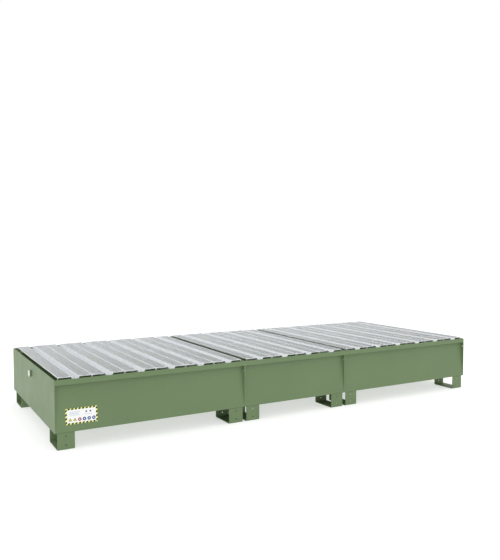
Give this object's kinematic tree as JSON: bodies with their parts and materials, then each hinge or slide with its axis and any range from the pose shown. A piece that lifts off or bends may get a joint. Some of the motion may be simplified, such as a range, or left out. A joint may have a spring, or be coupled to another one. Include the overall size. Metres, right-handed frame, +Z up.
{
  "type": "spill containment pallet",
  "caption": "Low painted steel spill pallet: bolted sumps with leaning walls on U-shaped feet, fork clearance below, and loose galvanised deck panels of channels and mesh.",
  "frame": {"origin": "on the floor, at the middle of the pallet's length and depth", "axes": "+X along the length, from the left end with the socket to the right end; +Y from front to rear; +Z up"},
  "size_m": [3.345, 1.33, 0.422],
  "materials": {
    "green_paint": "satin",
    "galvanised_bearer": "matt",
    "galvanised_mesh": "matt",
    "painted_fasteners": "satin",
    "plug_plastic": "matt",
    "label_face": "satin"
  },
  "bodies": {
    "pallet": {"left_sump": "green_paint", "left_sump_left_plate": "green_paint", "left_sump_right_plate": "green_paint", "left_sump_foot_front_left": "green_paint", "left_sump_foot_front_right": "green_paint", "left_sump_foot_rear_left": "green_paint", "left_sump_foot_rear_right": "green_paint", "middle_sump": "green_paint", "middle_sump_left_plate": "green_paint", "middle_sump_right_plate": "green_paint", "middle_sump_foot_front_left": "green_paint", "middle_sump_foot_front_right": "green_paint", "middle_sump_foot_rear_left": "green_paint", "middle_sump_foot_rear_right": "green_paint", "right_sump": "green_paint", "right_sump_left_plate": "green_paint", "right_sump_right_plate": "green_paint", "right_sump_foot_front_left": "green_paint", "right_sump_foot_front_right": "green_paint", "right_sump_foot_rear_left": "green_paint", "right_sump_foot_rear_right": "green_paint", "coupling_bolts": "painted_fasteners", "coupling_washers": "painted_fasteners", "coupling_nuts": "painted_fasteners", "connection_socket": "green_paint", "safety_label": "label_face"},
    "deck_panel_01": {"deck_bearers_01": "galvanised_bearer", "deck_mesh_01": "galvanised_mesh"},
    "deck_panel_02": {"deck_bearers_02": "galvanised_bearer", "deck_mesh_02": "galvanised_mesh"},
    "deck_panel_03": {"deck_bearers_03": "galvanised_bearer", "deck_mesh_03": "galvanised_mesh"},
    "deck_panel_04": {"deck_bearers_04": "galvanised_bearer", "deck_mesh_04": "galvanised_mesh"},
    "deck_panel_05": {"deck_bearers_05": "galvanised_bearer", "deck_mesh_05": "galvanised_mesh"},
    "deck_panel_06": {"deck_bearers_06": "galvanised_bearer", "deck_mesh_06": "galvanised_mesh"},
    "deck_panel_07": {"deck_bearers_07": "galvanised_bearer", "deck_mesh_07": "galvanised_mesh"},
    "deck_panel_08": {"deck_bearers_08": "galvanised_bearer", "deck_mesh_08": "galvanised_mesh"},
    "deck_panel_09": {"deck_bearers_09": "galvanised_bearer", "deck_mesh_09": "galvanised_mesh"},
    "deck_panel_10": {"deck_bearers_10": "galvanised_bearer", "deck_mesh_10": "galvanised_mesh"},
    "deck_panel_11": {"deck_bearers_11": "galvanised_bearer", "deck_mesh_11": "galvanised_mesh"},
    "deck_panel_12": {"deck_bearers_12": "galvanised_bearer", "deck_mesh_12": "galvanised_mesh"},
    "deck_panel_13": {"deck_bearers_13": "galvanised_bearer", "deck_mesh_13": "galvanised_mesh"},
    "deck_panel_14": {"deck_bearers_14": "galvanised_bearer", "deck_mesh_14": "galvanised_mesh"},
    "deck_panel_15": {"deck_bearers_15": "galvanised_bearer", "deck_mesh_15": "galvanised_mesh"},
    "deck_panel_16": {"deck_bearers_16": "galvanised_bearer", "deck_mesh_16": "galvanised_mesh"},
    "plug": {"socket_plug": "plug_plastic"}
  },
  "joints": [
    {"name": "lift_panel_01", "type": "slide", "parent": "pallet", "child": "deck_panel_01", "axis": [0, 0, 1], "range_m": [0, 0.35]},
    {"name": "lift_panel_02", "type": "slide", "parent": "pallet", "child": "deck_panel_02", "axis": [0, 0, 1], "range_m": [0, 0.35]},
    {"name": "lift_panel_03", "type": "slide", "parent": "pallet", "child": "deck_panel_03", "axis": [0, 0, 1], "range_m": [0, 0.35]},
    {"name": "lift_panel_04", "type": "slide", "parent": "pallet", "child": "deck_panel_04", "axis": [0, 0, 1], "range_m": [0, 0.35]},
    {"name": "lift_panel_05", "type": "slide", "parent": "pallet", "child": "deck_panel_05", "axis": [0, 0, 1], "range_m": [0, 0.35]},
    {"name": "lift_panel_06", "type": "slide", "parent": "pallet", "child": "deck_panel_06", "axis": [0, 0, 1], "range_m": [0, 0.35]},
    {"name": "lift_panel_07", "type": "slide", "parent": "pallet", "child": "deck_panel_07", "axis": [0, 0, 1], "range_m": [0, 0.35]},
    {"name": "lift_panel_08", "type": "slide", "parent": "pallet", "child": "deck_panel_08", "axis": [0, 0, 1], "range_m": [0, 0.35]},
    {"name": "lift_panel_09", "type": "slide", "parent": "pallet", "child": "deck_panel_09", "axis": [0, 0, 1], "range_m": [0, 0.35]},
    {"name": "lift_panel_10", "type": "slide", "parent": "pallet", "child": "deck_panel_10", "axis": [0, 0, 1], "range_m": [0, 0.35]},
    {"name": "lift_panel_11", "type": "slide", "parent": "pallet", "child": "deck_panel_11", "axis": [0, 0, 1], "range_m": [0, 0.35]},
    {"name": "lift_panel_12", "type": "slide", "parent": "pallet", "child": "deck_panel_12", "axis": [0, 0, 1], "range_m": [0, 0.35]},
    {"name": "lift_panel_13", "type": "slide", "parent": "pallet", "child": "deck_panel_13", "axis": [0, 0, 1], "range_m": [0, 0.35]},
    {"name": "lift_panel_14", "type": "slide", "parent": "pallet", "child": "deck_panel_14", "axis": [0, 0, 1], "range_m": [0, 0.35]},
    {"name": "lift_panel_15", "type": "slide", "parent": "pallet", "child": "deck_panel_15", "axis": [0, 0, 1], "range_m": [0, 0.35]},
    {"name": "lift_panel_16", "type": "slide", "parent": "pallet", "child": "deck_panel_16", "axis": [0, 0, 1], "range_m": [0, 0.35]},
    {"name": "pull_plug", "type": "slide", "parent": "pallet", "child": "plug", "axis": [-1, 0, 0], "range_m": [0, 0.06]}
  ]
}
